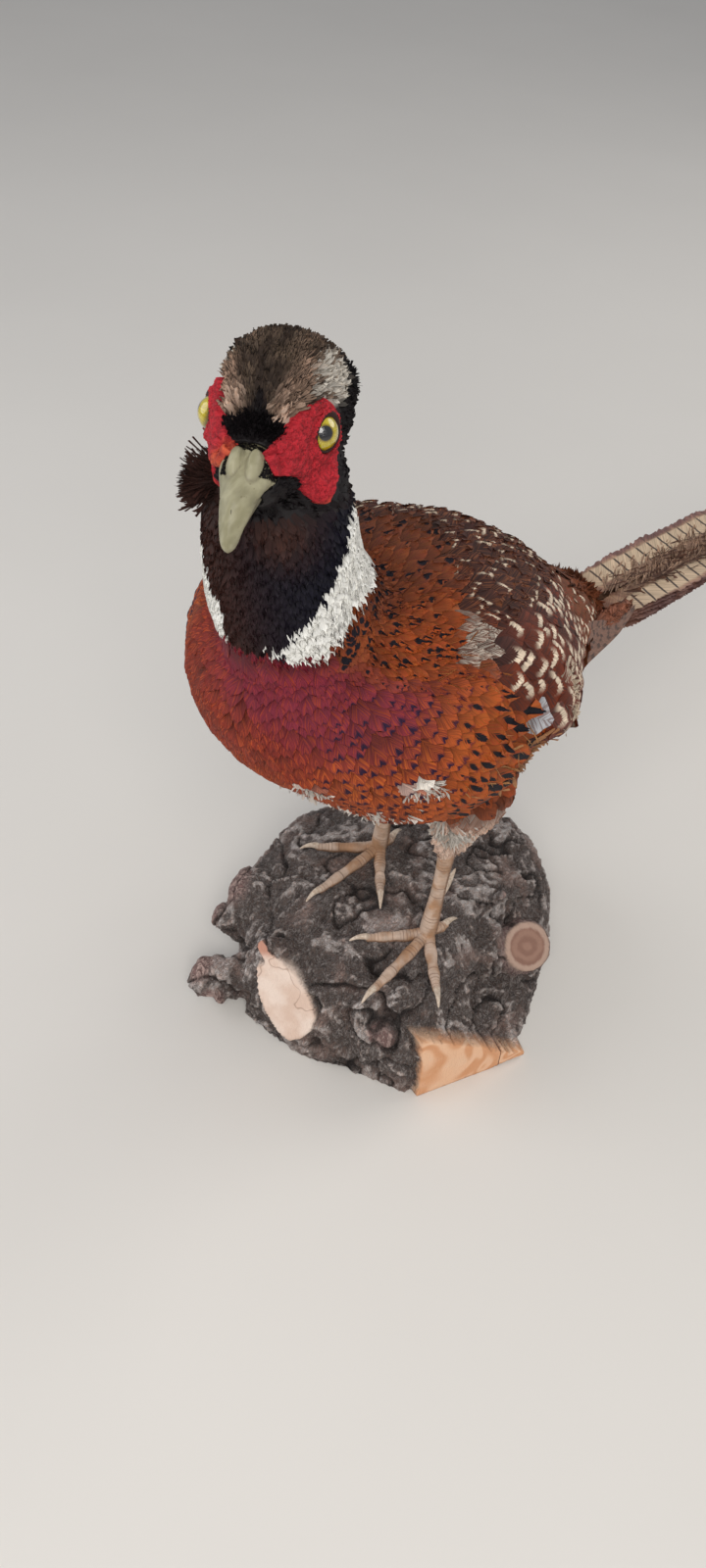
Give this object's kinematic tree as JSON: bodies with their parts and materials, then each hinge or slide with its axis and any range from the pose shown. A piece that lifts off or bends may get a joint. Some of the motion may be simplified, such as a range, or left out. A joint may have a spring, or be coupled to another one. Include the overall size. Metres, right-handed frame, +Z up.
{
  "type": "taxidermy pheasant",
  "caption": "Mounted cock ring-necked pheasant standing on a round piece of wood burl, long barred tail held out behind, red face, white collar.",
  "frame": {"origin": "on the burl's flat underside, below the middle of the bird's body", "axes": "+Z up; the bird looks towards -Y and its tail points towards +Y; +X is the bird's left"},
  "size_m": [0.1914, 0.7619, 0.4563],
  "materials": {
    "crown_feathers": "short soft grey-brown feathers with dark streaks",
    "neck_feathers": "short glossy black feathers with a blue and violet sheen",
    "ring_feathers": "short matt white feathers, ragged at their lower edge",
    "body_feathers": "overlapping coppery to orange-gold feathers with dark edges and spots",
    "wing_feathers": "overlapping chestnut feathers with cream loops and grey streaked coverts",
    "flight_feathers": "stiff brown barred flight feathers",
    "tail_feathers": "long stiff buff feathers with narrow black bars",
    "red_skin": "matt bright red skin covered in small pimples",
    "eye": "glossy yellow glass eye with a dark pupil",
    "bill": "satin grey-green horn",
    "leg_scales": "horn-yellow scales, dry and slightly glossy",
    "claw": "pale satin horn",
    "bark_wood": "rough grey burl with dark cracks and pale sawn faces"
  },
  "bodies": {
    "root": {"base_burl": "bark_wood", "bill_lower": "bill", "bill_upper": "bill", "breast": "body_feathers", "claw_hind_left": "claw", "claw_hind_right": "claw", "claw_inner_left": "claw", "claw_inner_right": "claw", "claw_middle_left": "claw", "claw_middle_right": "claw", "claw_outer_left": "claw", "claw_outer_right": "claw", "ear_tuft_left": "neck_feathers", "ear_tuft_right": "neck_feathers", "eye_left": "eye", "eye_right": "eye", "head": "crown_feathers", "neck": "neck_feathers", "neck_ring": "ring_feathers", "primaries_left": "flight_feathers", "primaries_right": "flight_feathers", "rump": "body_feathers", "spur_left": "claw", "spur_right": "claw", "tail_central_left": "tail_feathers", "tail_central_right": "tail_feathers", "tail_fourth_left": "tail_feathers", "tail_fourth_right": "tail_feathers", "tail_outer_left": "tail_feathers", "tail_outer_right": "tail_feathers", "tail_second_left": "tail_feathers", "tail_second_right": "tail_feathers", "tail_third_left": "tail_feathers", "tail_third_right": "tail_feathers", "tarsus_left": "leg_scales", "tarsus_right": "leg_scales", "thigh_left": "body_feathers", "thigh_right": "body_feathers", "toe_hind_left": "leg_scales", "toe_hind_right": "leg_scales", "toe_inner_left": "leg_scales", "toe_inner_right": "leg_scales", "toe_middle_left": "leg_scales", "toe_middle_right": "leg_scales", "toe_outer_left": "leg_scales", "toe_outer_right": "leg_scales", "trunk": "body_feathers", "wattle_left": "red_skin", "wattle_right": "red_skin", "wing_left": "wing_feathers", "wing_right": "wing_feathers"}
  },
  "joints": []
}
